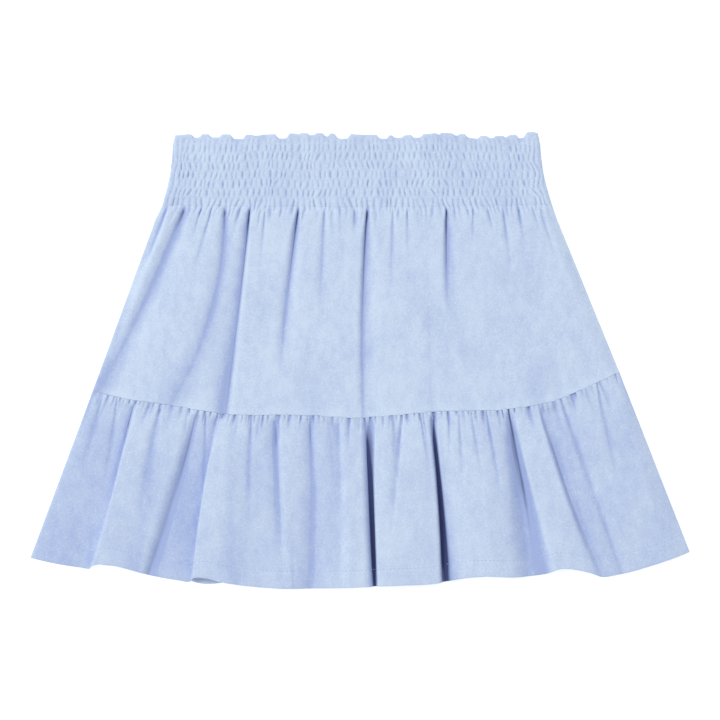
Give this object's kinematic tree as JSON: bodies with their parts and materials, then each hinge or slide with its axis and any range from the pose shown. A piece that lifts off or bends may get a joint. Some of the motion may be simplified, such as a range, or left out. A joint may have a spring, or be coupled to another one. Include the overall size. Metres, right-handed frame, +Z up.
{
  "type": "mini skirt",
  "caption": "Pull-on towelling mini skirt laid flat: smocked waistband with a frilled edge, softly gathered tier, and a gathered ruffle with deep rolls at the hem",
  "frame": {"origin": "middle of the footprint, on the surface that the skirt lies on", "axes": "+X runs across the skirt from its left in the picture to its right, +Y from the hem to the waist, +Z up from the surface to the front of the skirt"},
  "size_m": [0.56, 0.388, 0.0129],
  "materials": {
    "towelling": "pale blue velour towelling with a short matt nap, mottled, with thread and elastic of the same colour"
  },
  "bodies": {
    "root": {"waist_front": "towelling", "tier_front": "towelling", "ruffle_front": "towelling", "waist_back": "towelling", "tier_back": "towelling", "ruffle_back": "towelling"}
  },
  "joints": []
}
